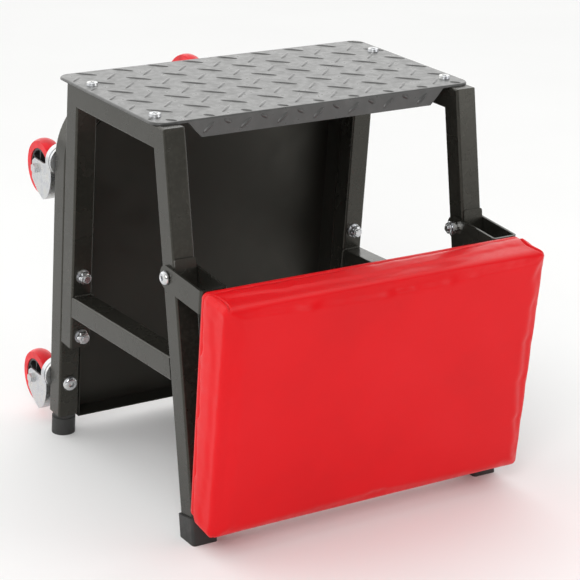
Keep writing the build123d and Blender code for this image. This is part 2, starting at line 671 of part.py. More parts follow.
def fork_solid(place):
    """Crown cup, hood over the rim, and two side plates that run out to the axle."""
    start_out = AXLE_REACH - sqrt(HOOD_RADIUS ** 2 - HOOD_START ** 2)
    tip_angle = radians(HOOD_TIP)
    hood_top = (TRAIL - HOOD_START, start_out)
    hood_mid = (TRAIL, AXLE_REACH - HOOD_RADIUS)
    hood_tip = (TRAIL + HOOD_RADIUS * sin(tip_angle), AXLE_REACH - HOOD_RADIUS * cos(tip_angle))
    with BuildPart() as fork:
        with BuildSketch(side_plane(place, -FORK_HALF)):
            with BuildLine():
                ThreePointArc(hood_top, hood_mid, hood_tip)
                round_axle = [(TRAIL + down, AXLE_REACH + out) for down, out in CHEEK]
                crown_edge = (TRAIL - CROWN_BACK, start_out)
                shoulder = (TRAIL - CROWN_BACK, start_out + CHEEK_ROUND)
                FilletPolyline(hood_tip, *round_axle, shoulder, crown_edge, radius=CHEEK_ROUND)
                Line(crown_edge, hood_top)
            make_face()
        extrude(amount=2 * FORK_HALF)
        with BuildSketch(side_plane(place, -FORK_HALF + FORK_SHEET)):
            with Locations((TRAIL, AXLE_REACH)):
                Circle(HOOD_RADIUS - FORK_SHEET)
            with Locations((0, CROWN + FORK_SHEET)):
                Rectangle(TRAIL, 2 * AXLE_REACH, align=(Align.MIN, Align.MIN))
        extrude(amount=2 * (FORK_HALF - FORK_SHEET), mode=Mode.SUBTRACT)
        with BuildSketch(place.offset(CROWN - CUP_DEPTH)):
            Circle(CUP_RADIUS)
        extrude(amount=CUP_DEPTH + FORK_SHEET)
        with BuildSketch(place.offset(CROWN - CUP_DEPTH)):
            Circle(CUP_RADIUS - FORK_SHEET)
        extrude(amount=CUP_DEPTH, mode=Mode.SUBTRACT)
        drill(place, RIVET_RADIUS + RUNNING, 2 * TUBE)
        drill(wheel_plane(place), M6 / 2, 2 * TUBE)
    return fork


def axle_set(place):
    """Axle bolt and its lock nut, outside the fork's side plates."""
    head_end = place.from_local_coords((-FORK_HALF, TRAIL, AXLE_REACH))
    nut_end = place.from_local_coords((FORK_HALF, TRAIL, AXLE_REACH))
    with BuildPart() as bolt:
        outer = Plane(origin=head_end, z_dir=place.x_dir * -1)
        with BuildSketch(outer):
            RegularPolygon(M6 * HEX_HALF, 6, major_radius=False)
        extrude(amount=AXLE_HEAD)
        with BuildSketch(outer):
            Circle(M6 / 2)
        extrude(amount=-(2 * FORK_HALF + M6))
    with BuildPart() as nut:
        nyloc_nut(Plane(origin=nut_end, z_dir=place.x_dir), M6, M6)
    with BuildPart() as both:
        add(bolt.part)
        add(nut.part)
    return both


def hub_solid(place):
    """Moulded wheel centre: rim, thin web, six ribs and a boss that turns on the axle."""
    centre = wheel_plane(place)
    rim_half = WHEEL_WIDTH / 2 - 1
    boss_half = FORK_HALF - FORK_SHEET - CLEAR
    with BuildPart() as hub:
        with BuildSketch(centre):
            Circle(HUB_RADIUS)
        extrude(amount=rim_half, both=True)
        for turn in (1, -1):
            with BuildSketch(centre.offset(turn * rim_half)):
                Circle(HUB_RADIUS - RIM)
                Circle(BOSS_RADIUS, mode=Mode.SUBTRACT)
                with PolarLocations((HUB_RADIUS - RIM + BOSS_RADIUS) / 2, 6):
                    Rectangle(HUB_RADIUS - BOSS_RADIUS, RIB, mode=Mode.SUBTRACT)
            extrude(amount=-turn * (rim_half - WEB_HALF), mode=Mode.SUBTRACT)
        with BuildSketch(centre):
            Circle(BOSS_RADIUS)
        extrude(amount=boss_half, both=True)
        drill(centre, M6 / 2 + RUNNING, 2 * TUBE)
    return hub


def tyre_solid(place):
    """Polyurethane tyre with a crowned tread, moulded round the hub's rim."""
    centre = wheel_plane(place)
    half = WHEEL_WIDTH / 2
    with BuildPart() as tyre:
        with BuildSketch(Plane(origin=centre.origin, x_dir=place.x_dir, z_dir=place.y_dir)):
            with BuildLine():
                shoulder = WHEEL_RADIUS - TREAD_CROWN
                Line((-half, HUB_RADIUS), (half, HUB_RADIUS))
                Line((half, HUB_RADIUS), (half, shoulder))
                ThreePointArc((half, shoulder), (0, WHEEL_RADIUS), (-half, shoulder))
                Line((-half, shoulder), (-half, HUB_RADIUS))
            make_face()
        revolve(axis=Axis(centre.origin, place.x_dir))
    return tyre


for name, place in places.items():
    finish(fork_solid(place), f"castor_fork_{name}", ZINC)
    finish(axle_set(place), f"castor_axle_{name}", ZINC)
    finish(hub_solid(place), f"castor_hub_{name}", BLACK)
    finish(tyre_solid(place), f"castor_tyre_{name}", RED)
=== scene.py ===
import json
import math

import bmesh
import bpy
from mathutils import Matrix, Vector, noise


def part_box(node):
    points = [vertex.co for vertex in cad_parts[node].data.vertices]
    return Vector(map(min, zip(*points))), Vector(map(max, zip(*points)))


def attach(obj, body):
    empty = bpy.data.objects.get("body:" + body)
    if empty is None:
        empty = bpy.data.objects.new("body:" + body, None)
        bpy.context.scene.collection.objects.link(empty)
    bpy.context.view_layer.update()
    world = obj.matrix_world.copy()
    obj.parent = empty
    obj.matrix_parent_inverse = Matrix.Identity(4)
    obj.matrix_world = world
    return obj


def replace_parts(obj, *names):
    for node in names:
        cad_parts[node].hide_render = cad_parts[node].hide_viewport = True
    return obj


# A step stool that is also a rolling seat, in metres and in the CAD frame: +Z up, red pad
# towards -Y. CAD nodes keep their shapes and get materials; the pad, the vinyl's turned-in
# edge, the raised bars of the tread plate, nuts, bolt heads and weld beads are built here.

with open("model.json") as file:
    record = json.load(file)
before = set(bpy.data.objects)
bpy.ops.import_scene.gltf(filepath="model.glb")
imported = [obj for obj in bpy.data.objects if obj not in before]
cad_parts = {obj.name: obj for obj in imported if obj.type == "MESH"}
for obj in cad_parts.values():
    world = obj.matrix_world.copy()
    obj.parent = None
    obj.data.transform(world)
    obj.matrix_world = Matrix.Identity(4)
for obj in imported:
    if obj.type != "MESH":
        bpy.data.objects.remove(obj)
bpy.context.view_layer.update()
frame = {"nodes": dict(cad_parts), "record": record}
cad = frame["nodes"]
MM = 0.001

LEAN = math.radians(4.0)           # rear frame and pad lean back by this much
ACROSS = Vector((1, 0, 0))
UPRIGHT = Vector((0, 0, 1))
REARWARD = Vector((0, math.cos(LEAN), math.sin(LEAN)))
UP_LEAN = Vector((0, -math.sin(LEAN), math.cos(LEAN)))


# ---------------------------------------------------------------- materials
class Shader:
    """A node material on object coordinates in metres, so texture scales are per metre."""

    def __init__(self, name, roughness, metallic=0.0, coat=0.0, coat_roughness=0.1, specular=0.5):
        self.material = bpy.data.materials.new(name)
        self.material.use_nodes = True
        self.tree = self.material.node_tree
        self.surface = self.tree.nodes["Principled BSDF"]
        self.surface.inputs["Roughness"].default_value = roughness
        self.surface.inputs["Metallic"].default_value = metallic
        self.surface.inputs["Coat Weight"].default_value = coat
        self.surface.inputs["Coat Roughness"].default_value = coat_roughness
        self.surface.inputs["Specular IOR Level"].default_value = specular
        self.place = self.tree.nodes.new("ShaderNodeTexCoord").outputs["Object"]

    def link(self, start, end):
        self.tree.links.new(start, end)

    def stretched(self, scale):
        """Object coordinates with each axis scaled."""
        mapping = self.tree.nodes.new("ShaderNodeMapping")
        mapping.inputs["Scale"].default_value = scale
        self.link(self.place, mapping.inputs["Vector"])
        return mapping.outputs["Vector"]

    def noise(self, scale, detail=3.0, rough=0.5, vector=None):
        node = self.tree.nodes.new("ShaderNodeTexNoise")
        node.inputs["Scale"].default_value = scale
        node.inputs["Detail"].default_value = detail
        node.inputs["Roughness"].default_value = rough
        self.link(vector or self.place, node.inputs["Vector"])
        return node.outputs["Fac"]

    def cells(self, scale, feature):
        node = self.tree.nodes.new("ShaderNodeTexVoronoi")
        node.feature = feature
        node.inputs["Scale"].default_value = scale
        self.link(self.place, node.inputs["Vector"])
        return node.outputs["Distance"]

    def ramp(self, fac, stops):
        """stops are (position, colour or grey value)."""
        node = self.tree.nodes.new("ShaderNodeValToRGB")
        elements = node.color_ramp.elements
        while len(elements) < len(stops):
            elements.new(1.0)
        for element, (position, value) in zip(elements, stops):
            colour = (value,) * 3 if isinstance(value, float) else value
            element.position = position
            element.color = (*colour, 1.0)
        self.link(fac, node.inputs["Fac"])
        return node.outputs["Color"]

    def mix(self, fac, first, second):
        node = self.tree.nodes.new("ShaderNodeMix")
        node.data_type = "RGBA"
        self.link(fac, node.inputs["Factor"])
        self.link(first, node.inputs[6])
        self.link(second, node.inputs[7])
        return node.outputs[2]

    def colour(self, output):
        self.link(output, self.surface.inputs["Base Color"])

    def rough(self, fac, low, high):
        self.link(self.ramp(fac, [(0.3, low), (0.7, high)]), self.surface.inputs["Roughness"])

    def bump(self, layers):
        """layers are (height output, distance in metres, strength), from coarse to fine."""
        normal = None
        for height, distance, strength in layers:
            node = self.tree.nodes.new("ShaderNodeBump")
            node.inputs["Distance"].default_value = distance
            node.inputs["Strength"].default_value = strength
            self.link(height, node.inputs["Height"])
            if normal:
                self.link(normal, node.inputs["Normal"])
            normal = node.outputs["Normal"]
        self.link(normal, self.surface.inputs["Normal"])


def shade(colour, factor):
    return tuple(min(1.0, c * factor) for c in colour)


def powder_coat(name, colour, low, high):
    """Sprayed powder: a slight orange peel, faint dust, and lighter edges that are a painted highlight."""
    s = Shader(name, high)
    s.surface.inputs["Specular Tint"].default_value = (1.0, 0.97, 0.86, 1.0)
    base = s.ramp(s.noise(14, 3), [(0.3, shade(colour, 0.85)), (0.7, shade(colour, 1.2))])
    # painted highlight: the colour turns lighter, with speckled noise, along sharp edges found by
    # pointiness
    edge = s.tree.nodes.new("ShaderNodeNewGeometry").outputs["Pointiness"]
    painted_edge_highlight = s.ramp(edge, [(0.56, 0.0), (0.68, 0.35)])
    highlight_tone = s.ramp(s.noise(220, 5), [(0.45, shade(colour, 1.2)), (0.75, shade(colour, 4.0))])
    s.colour(s.mix(painted_edge_highlight, base, highlight_tone))
    s.rough(s.noise(34, 4), low, high)
    s.bump([(s.noise(520, 2), 0.12 * MM, 0.10), (s.noise(2400, 2), 0.03 * MM, 0.12)])
    return s.material


def tread_coat(name, colour):
    """The step's coat: a thin gloss over a dusty, slightly worn grain."""
    s = Shader(name, 0.34, coat=0.3, coat_roughness=0.3)
    dust = s.noise(45, 6, 0.65)
    s.colour(s.ramp(dust, [(0.3, shade(colour, 0.8)), (0.55, colour), (0.8, shade(colour, 1.5))]))
    s.rough(s.noise(130, 6), 0.27, 0.44)
    s.bump([(s.noise(480, 3), 0.3 * MM, 0.25), (s.noise(2200, 2), 0.08 * MM, 0.3)])
    return s.material


def zinc_plate(name, low, high):
    """Bright zinc plate: a faint blue and straw cast, drawn lines and small scratches."""
    s = Shader(name, 0.3, metallic=0.9)
    cast = s.ramp(s.noise(110, 3), [
        (0.3, (0.52, 0.53, 0.56)), (0.5, (0.60, 0.61, 0.62)), (0.72, (0.61, 0.60, 0.57))])
    s.colour(cast)
    s.rough(s.noise(320, 4), low, high)
    lines = s.noise(900, 3, 0.6, s.stretched((0.12, 1.0, 1.0)))
    s.bump([(s.noise(180, 2), 0.1 * MM, 0.06), (lines, 0.03 * MM, 0.2)])
    return s.material


def moulded(name, colour, low, high, grain, depth, specular=0.5):
    """Moulded rubber or plastic with a fine grained skin."""
    s = Shader(name, high, specular=specular)
    s.colour(s.ramp(s.noise(60, 5), [(0.3, shade(colour, 0.8)), (0.7, shade(colour, 1.35))]))
    s.rough(s.noise(240, 4), low, high)
    s.bump([(s.noise(90, 3), 0.15 * MM, 0.15), (s.noise(grain, 3), depth, 0.5)])
    return s.material


def vinyl(name, colour):
    """Upholstery vinyl: a pebbled leather grain with soft gloss."""
    s = Shader(name, 0.33, specular=0.2)
    red, green, blue = colour
    faded = (red * 1.04, green * 1.7, blue * 1.5)
    s.colour(s.ramp(s.noise(9, 3), [(0.25, shade(colour, 0.92)), (0.5, colour), (0.8, faded)]))
    s.rough(s.noise(180, 4), 0.28, 0.4)
    pebbles = s.cells(1150, "SMOOTH_F1")
    s.bump([(s.noise(60, 3), 0.25 * MM, 0.25), (pebbles, 0.12 * MM, 0.4),
            (s.noise(3200, 2), 0.04 * MM, 0.3)])
    return s.material


def stained_board(name):
    """Plywood stained black, its grain along the pad."""
    s = Shader(name, 0.6)
    grain = s.noise(60, 6, 0.6, s.stretched((0.25, 5.0, 6.0)))
    s.colour(s.ramp(grain, [
        (0.3, (0.018, 0.015, 0.013)), (0.6, (0.045, 0.036, 0.028)), (0.8, (0.09, 0.07, 0.05))]))
    s.rough(grain, 0.45, 0.7)
    s.bump([(grain, 0.3 * MM, 0.4)])
    return s.material


BLACK = (0.0155, 0.0150, 0.0125)
FINISHES = {
    "frame_black": powder_coat("frame_coat", BLACK, 0.2, 0.32),
    "tread_black": tread_coat("tread_coat", (0.060, 0.060, 0.058)),
    "tray_black": powder_coat("tray_coat", shade(BLACK, 0.75), 0.36, 0.5),
    "zinc": zinc_plate("zinc_plate", 0.25, 0.36),
    "foot_rubber": moulded("foot_rubber", (0.026, 0.026, 0.025), 0.5, 0.7, 1400, 0.1 * MM),
    "hub_black": moulded("hub_plastic", (0.022, 0.022, 0.022), 0.35, 0.5, 1800, 0.05 * MM),
    "red_tyre": moulded("red_polyurethane", (0.68, 0.010, 0.018), 0.28, 0.42, 1500, 0.04 * MM, 0.25),
    "red_vinyl": vinyl("red_vinyl", (0.73, 0.004, 0.008)),
    "foam": moulded("foam", (0.85, 0.8, 0.55), 0.8, 0.95, 900, 0.3 * MM),
    "board": stained_board("stained_board"),
}
BRIGHT = zinc_plate("bright_zinc", 0.08, 0.18)
NYLON = moulded("nylon_ring", (0.62, 0.64, 0.62), 0.35, 0.5, 1500, 0.03 * MM)

slots = {row["node"]: row["material_slot"] for row in frame["record"]["subparts"]}
USUAL_EDGE = 0.4 * MM
EDGE_SOFTNESS = {"zinc": 0.25 * MM, "foot_rubber": 0.9 * MM, "hub_black": 0.25 * MM,
                 "red_tyre": 0.0, "tray_black": 0.3 * MM, "tread_black": 0.5 * MM}
for name, node in cad.items():
    node.data.materials.clear()
    node.data.materials.append(FINISHES[slots[name]])
    width = EDGE_SOFTNESS.get(slots[name], USUAL_EDGE)
    if width:
        soft = node.modifiers.new("soft_edges", "BEVEL")
        soft.width = width
        soft.segments = 2
        soft.limit_method = "ANGLE"
        soft.angle_limit = math.radians(40)
        soft.use_clamp_overlap = True


# ---------------------------------------------------------------- mesh tools
def piece(name, build, body, slot, materials=None, smooth=35.0):
    """A new mesh piece from a bmesh that build fills, riding on a body."""
    mesh = bpy.data.meshes.new(name)
    shape = bmesh.new()
    build(shape)
    bmesh.ops.recalc_face_normals(shape, faces=shape.faces)
    shape.to_mesh(mesh)
    shape.free()
    mesh.shade_smooth()
    mesh.set_sharp_from_angle(angle=math.radians(smooth))
    for material in materials or [FINISHES[slot]]:
        mesh.materials.append(material)
    thing = bpy.data.objects.new(name, mesh)
    bpy.context.scene.collection.objects.link(thing)
    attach(thing, body)
    return thing


def solids(node):
    """Separate solids of a CAD node, each as its list of points."""
    shape = bmesh.new()
    shape.from_mesh(cad[node].data)
    bmesh.ops.remove_doubles(shape, verts=shape.verts, dist=1e-6)
    left, groups = set(shape.verts), []
    while left:
        stack, group = [left.pop()], []
        while stack:
            vertex = stack.pop()
            group.append(vertex.co.copy())
            for edge in vertex.link_edges:
                other = edge.other_vert(vertex)
                if other in left:
                    left.remove(other)
                    stack.append(other)
        groups.append(group)
    shape.free()
    groups.sort(key=lambda g: tuple(round(c, 4) for c in sum(g, Vector()) / len(g)))
    return groups


def reach(points, axis):
    """Lowest and highest extent of points along an axis."""
    values = [p.dot(axis) for p in points]
    return min(values), max(values)


def middle(points, axes):
    """Point in the middle of the extents along three perpendicular axes."""
    return sum((a * (sum(reach(points, a)) / 2) for a in axes), Vector())


def facing(origin, axis, up):
    """Matrix that puts local Z along axis and local Y near up."""
    z = axis.normalized()
    x = up.cross(z).normalized()
    return Matrix.Translation(origin) @ Matrix((x, z.cross(x), z)).transposed().to_4x4()


def turned(shape, profile, place, material=0, segments=48):
    """Skins rings along Z. profile is (radius or function of angle, height); ends are capped."""
    rings = []
    for radius, height in profile:
        ring = []
        for i in range(segments):
            angle = 2 * math.pi * i / segments
            r = radius(angle) if callable(radius) else radius
            ring.append(shape.verts.new(place @ Vector((r * math.cos(angle), r * math.sin(angle), height))))
        rings.append(ring)
    faces = []
    for low, high in zip(rings, rings[1:]):
        for i in range(segments):
            j = (i + 1) % segments
            faces.append(shape.faces.new((low[i], low[j], high[j], high[i])))
    faces.append(shape.faces.new(rings[0][::-1]))
    faces.append(shape.faces.new(rings[-1]))
    for face in faces:
        face.material_index = material


def hexagon(apothem, limit=1.0):
    """Radius of a hexagon by angle, its corners cut off at a circle."""
    def radius(angle):
        turn = (angle % (math.pi / 3)) - math.pi / 6
        return min(apothem / math.cos(turn), limit)
    return radius


# ---------------------------------------------------------------- fasteners
THREAD = 8 * MM                    # of the frame and pivot bolts
NUT_HEIGHT = 8 * MM
KING_HEAD = (8.8 * MM, 5.6 * MM, 3.0 * MM)      # radius, height and half the socket's width
KING_CAD_HEIGHT = 5.5 * MM
PIVOT_HEAD = (7.6 * MM, 4.7 * MM, 2.5 * MM)
PIVOT_CAD_HEIGHT = 4.6 * MM


def lock_nut(shape, place, size, height):
    """Chamfered hexagon nut, its rolled collar with a nylon ring, and the bolt's threaded end."""
    flat = size * 0.8125
    corner = flat / math.cos(math.pi / 6)
    body = height * 0.72
    turned(shape, [
        (hexagon(flat, flat * 1.03), 0), (hexagon(flat), (corner - flat) * 0.55),
        (hexagon(flat), body - (corner - flat) * 0.55), (hexagon(flat, flat * 1.03), body),
        (size * 0.76, body), (size * 0.76, height * 0.95), (size * 0.68, height), (size * 0.58, height),
        (size * 0.58, height * 0.9)], place)
    ring = [(size * 0.575, height * 0.85), (size * 0.575, height * 0.93), (size * 0.5, height * 0.95)]
    turned(shape, ring, place, material=1)
    thread = []
    pitch = size * 0.15
    for i in range(5):
        z = height * 0.9 + i * pitch / 2
        thread.append((size * (0.49 if i % 2 else 0.455), z))
    thread.append((size * 0.4, height * 0.9 + 2.6 * pitch))
    turned(shape, thread, place)


def button_head(shape, place, radius, height, socket):
    """Domed head with a hexagon socket."""
    dome = [(radius * 0.97, 0), (radius, height * 0.08), (radius, height * 0.2)]
    crown = socket * 1.55
    for i in range(1, 7):
        t = math.pi / 2 * i / 6
        dome.append((crown + (radius - crown) * math.cos(t), height * (0.2 + 0.8 * math.sin(t))))
    hexed = hexagon(socket)
    recess = [(lambda a: hexed(a) * 1.06, height), (hexed, height * 0.95), (hexed, height * 0.4),
              (socket * 0.3, height * 0.3)]
    turned(shape, dome + recess, place)


AXES = (ACROSS, REARWARD, UP_LEAN)
INWARD = REARWARD * -1


def frame_nuts(shape):
    for points in solids("frame_nuts"):
        centre = middle(points, AXES)
        start = centre - INWARD * (reach(points, INWARD)[1] - centre.dot(INWARD))
        lock_nut(shape, facing(start, INWARD, UP_LEAN), THREAD, NUT_HEIGHT)


def pivot_nuts(shape):
    for points in solids("pivot_nuts"):
        centre = middle(points, AXES)
        axis = ACROSS * (-1 if centre.x > 0 else 1)
        start = centre - axis * (NUT_HEIGHT / 2)
        lock_nut(shape, facing(start, axis, UPRIGHT), THREAD, NUT_HEIGHT)


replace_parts(piece("frame_lock_nuts", frame_nuts, "frame", "zinc", [BRIGHT, NYLON]), "frame_nuts")
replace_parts(piece("pivot_lock_nuts", pivot_nuts, "frame", "zinc", [BRIGHT, NYLON]), "pivot_nuts")


def king_heads(shape):
    for points in solids("castor_king_bolts"):
        centre = middle(points, AXES)
        front = centre + INWARD * (reach(points, INWARD)[1] - centre.dot(INWARD))
        button_head(shape, facing(front - INWARD * KING_CAD_HEIGHT, INWARD, UP_LEAN), *KING_HEAD)


def pivot_heads(shape):
    for points in solids("pivot_bolts"):
        centre = middle(points, AXES)
        axis = ACROSS * (1 if centre.x > 0 else -1)
        outer = centre + axis * (reach(points, axis)[1] - centre.dot(axis))
        button_head(shape, facing(outer - axis * PIVOT_CAD_HEIGHT, axis, UPRIGHT), *PIVOT_HEAD)


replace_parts(piece("castor_bolt_heads", king_heads, "frame", "zinc", [BRIGHT]), "castor_king_bolts")
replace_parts(piece("pivot_bolt_heads", pivot_heads, "frame", "zinc", [BRIGHT]), "pivot_bolts")


# ---------------------------------------------------------------- raised bars of the tread plate
BAR_PITCH_X, BAR_PITCH_Y = 43.8 * MM, 42.4 * MM
BAR_ORIGIN = Vector((9.6, -4.7, 0)) * MM
BAR_LENGTH = 31 * MM
BAR_WIDTH = 4.6 * MM
BAR_RISE = 1.15 * MM
STEPS_ALONG, STEPS_ROUND = 14, 6
plate_low, plate_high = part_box("step_plate")
PLATE_CORNER = 15 * MM
LIP_HALF = 147 * MM
LIP_MARGIN = 12 * MM
EDGE_MARGIN = 2.4 * MM
SCREW_MARGIN = 8 * MM
LIP_ORIGIN = -2 * MM
LIP_RISE = 1.7 * MM
# set back along the row, below the top, length and slant of the lip's bars
LIP_BARS = ((0, 10.5 * MM, 17 * MM, 0.8), (0.5, 6 * MM, 10 * MM, -0.6))


def bar(shape, centre, along, normal, length, rise=BAR_RISE):
    """A lens-shaped bar: pointed ends, a rounded back."""
    side = normal.cross(along)
    rows = []
    for i in range(STEPS_ALONG + 1):
        t = 2 * i / STEPS_ALONG - 1
        taper = max(0.0, 1 - abs(t) ** 2.6) ** 0.6
        row = []
        for j in range(STEPS_ROUND + 1):
            s = 2 * j / STEPS_ROUND - 1
            across = side * (s * taper * BAR_WIDTH / 2)
            lift = normal * (rise * taper * (1 - s * s) - 0.15 * MM)
            row.append(shape.verts.new(centre + along * (t * length / 2) + across + lift))
        rows.append(row)
    for low, high in zip(rows, rows[1:]):
        for j in range(STEPS_ROUND):
            shape.faces.new((low[j], low[j + 1], high[j + 1], high[j]))


def inside_plate(x, y, margin):
    """Whether a point of the plate keeps a margin from its rounded outline."""
    centre = (plate_low + plate_high) / 2
    half_x = (plate_high.x - plate_low.x) / 2 - PLATE_CORNER
    half_y = (plate_high.y - plate_low.y) / 2 - PLATE_CORNER
    dx = max(0.0, abs(x - centre.x) - half_x)
    dy = max(0.0, abs(y - centre.y) - half_y)
    return math.hypot(dx, dy) < PLATE_CORNER - margin


screws = [middle(points, (ACROSS, Vector((0, 1, 0)), UPRIGHT)) for points in solids("step_screws")]


def tread_bars(shape):
    """Two sets of bars at right angles, each in the middle of the other's squares."""
    front = Vector((0, -1, 0))
    falling, rising = Vector((1, -1, 0)).normalized(), Vector((1, 1, 0)).normalized()
    for i in range(-6, 6):
        for j in range(-4, 5):
            for along, half in ((falling, 0), (rising, 0.5)):
                offset = Vector(((i + half) * BAR_PITCH_X, (j + half) * BAR_PITCH_Y, plate_high.z))
                spot = BAR_ORIGIN + offset
                # a bar is cut short where it would leave the plate or run under a screw
                stops = [spot + along * ((k / 12 - 0.5) * BAR_LENGTH) for k in range(13)]
                kept = [p for p in stops if inside_plate(p.x, p.y, EDGE_MARGIN)
                        and all((p.xy - screw.xy).length > SCREW_MARGIN for screw in screws)]
                if len(kept) > 3:
                    length = (kept[-1] - kept[0]).length
                    bar(shape, (kept[0] + kept[-1]) / 2, along, UPRIGHT, length)
    for i in range(-7, 7):
        for half, drop, length, slant in LIP_BARS:
            x = LIP_ORIGIN + (i + half) * BAR_PITCH_X
            if abs(x) < LIP_HALF - LIP_MARGIN:
                along = Vector((1, 0, slant)).normalized()
                bar(shape, Vector((x, plate_low.y, plate_high.z - drop)), along, front, length, LIP_RISE)


piece("tread_bars", tread_bars, "frame", "tread_black", smooth=60)


# ---------------------------------------------------------------- weld beads
BEAD = 2.3 * MM
RIPPLE = 2.6 * MM
RING_STEP = 0.55 * MM
RING_POINTS = 10
WELD_TURN = 2 * MM                 # the bead rounds the tube's edges by this much
WELD_STOP = 3 * MM                 # and stops this far from the outer face


def bead(shape, points, radius):
    """A rippled weld bead along a line of points."""
    spaced = [points[0]]
    for a, b in zip(points, points[1:]):
        steps = max(1, round((b - a).length / RING_STEP))
        spaced += [a.lerp(b, k / steps) for k in range(1, steps + 1)]
    run, rings = 0.0, []
    for k, spot in enumerate(spaced):
        ahead = spaced[min(k + 1, len(spaced) - 1)] - spaced[max(k - 1, 0)]
        place = facing(spot, ahead, Vector((0.3, 0.5, 0.8)))
        run += ahead.length / 2
        swell = 0.82 + 0.2 * abs(math.sin(math.pi * run / RIPPLE)) + 0.1 * noise.noise(spot * 400)
        ends = min(1.0, 0.35 + min(k, len(spaced) - 1 - k) / 4)
        r = radius * swell * ends
        rings.append([shape.verts.new(place @ Vector((r * math.cos(t), r * math.sin(t), 0)))
                      for t in (2 * math.pi * n / RING_POINTS for n in range(RING_POINTS))])
    for low, high in zip(rings, rings[1:]):
        for n in range(RING_POINTS):
            m = (n + 1) % RING_POINTS
            shape.faces.new((low[n], low[m], high[m], high[n]))
    shape.faces.new(rings[0][::-1])
    shape.faces.new(rings[-1])


def end_outline(node, axis):
    """Outline of a tube's cut end, in order round it, from the CAD mesh."""
    points = [v.co.copy() for v in cad[node].data.vertices]
    centre = sum(points, Vector()) / len(points)
    furthest = max((p - centre).dot(axis) for p in points)
    ends = [p for p in points if (p - centre).dot(axis) > 0.75 * furthest]
    hub = sum(ends, Vector()) / len(ends)
    outer = {}
    for p in ends:
        angle = round(math.degrees(math.atan2(p.z - hub.z, p.x - hub.x)) / 6)
        far = math.hypot(p.z - hub.z, p.x - hub.x)
        if angle not in outer or far > outer[angle][0]:
            outer[angle] = (far, p)
    return [outer[a][1] for a in sorted(outer)]


def stretcher_welds(shape):
    """A bead round the top, inner face and underside of both ends of each stretcher."""
    for side in ("left", "right"):
        node = f"stretcher_{side}"
        low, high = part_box(node)
        sign = -1 if side == "left" else 1
        inner = low.x if sign > 0 else high.x
        outer = high.x if sign > 0 else low.x
        for direction in (Vector((0, 1, 0)), Vector((0, -1, 0))):
            ring = end_outline(node, direction)
            top = max(p.z for p in ring)
            base = min(p.z for p in ring)
            stop, turn = outer - sign * WELD_STOP, inner + sign * WELD_TURN
            edge = [Vector((x, 0, z)) for x, z in (
                (stop, top), (turn, top), (inner, top - WELD_TURN),
                (inner, base + WELD_TURN), (turn, base), (stop, base))]
            for p in edge:
                near = min(ring, key=lambda q: abs(q.z - p.z))
                p.y = near.y
            bead(shape, edge, BEAD)


piece("stretcher_welds", stretcher_welds, "frame", "frame_black", smooth=180)


# ---------------------------------------------------------------- padded seat
PAD_VOXEL = 4.5 * MM
PAD_SHRINK = 1.5 * MM
PAD_CAP = 3.6 * MM
SIDE_CAP = 0.7 * MM
PAD_EDGE = 4.0 * MM
PAD_GROWTH = 1.5 * MM              # how far the swollen pad stands out past the CAD cover
AIR_PRESSURE = 4.0
AIR_FRAMES = 20
HELD_DEPTH = 3 * MM                # the back of the pad, where it is held to the board
CORNER_BAND = 25 * MM
FACE_DEPTH = 20 * MM               # points further forward than this are the pad's front
cover_points = [v.co.copy() for v in cad["seat_cover"].data.vertices]
FORWARD = REARWARD * -1
half_width = reach(cover_points, ACROSS)[1]
back = reach(cover_points, FORWARD)[0]
front_points = [p for p in cover_points if p.dot(FORWARD) > back + FACE_DEPTH]
rear_points = [p for p in cover_points if p.dot(FORWARD) < back + 1 * MM]
rear_base, rear_top = reach(rear_points, UP_LEAN)
front_base, front_top = reach(front_points, UP_LEAN)
front_at_top = max(p.dot(FORWARD) for p in front_points if p.dot(UP_LEAN) > front_top - CORNER_BAND)
front_at_base = max(p.dot(FORWARD) for p in front_points if p.dot(UP_LEAN) < front_base + CORNER_BAND)
rear_middle = (rear_top + rear_base) / 2


def pad_point(u, v, w):
    """Point from across, up the pad and forwards."""
    return ACROSS * u + UP_LEAN * v + FORWARD * w


def wedge(shape):
    """The pad's wedge, a little small, its front and corner edges rounded."""
    u = half_width - PAD_SHRINK
    rows = []
    for v_rear, v_front, w in ((rear_base, front_base, front_at_base), (rear_top, front_top, front_at_top)):
        inset = PAD_SHRINK if v_rear == rear_base else -PAD_SHRINK
        for side in (-1, 1):
            rows.append(shape.verts.new(pad_point(side * u, v_rear + inset, back + 0.3 * MM)))
            rows.append(shape.verts.new(pad_point(side * u, v_front + inset, w - PAD_SHRINK)))
    a, b, c, d, e, f, g, h = rows
    for quad in ((a, c, d, b), (e, f, h, g), (a, b, f, e), (c, g, h, d), (b, d, h, f), (a, e, g, c)):
        shape.faces.new(quad)
    rounded = [edge for edge in shape.edges if not all(v in (a, c, e, g) for v in edge.verts)]
    bmesh.ops.bevel(shape, geom=rounded, offset=PAD_EDGE, segments=4, profile=0.55, affect="EDGES")


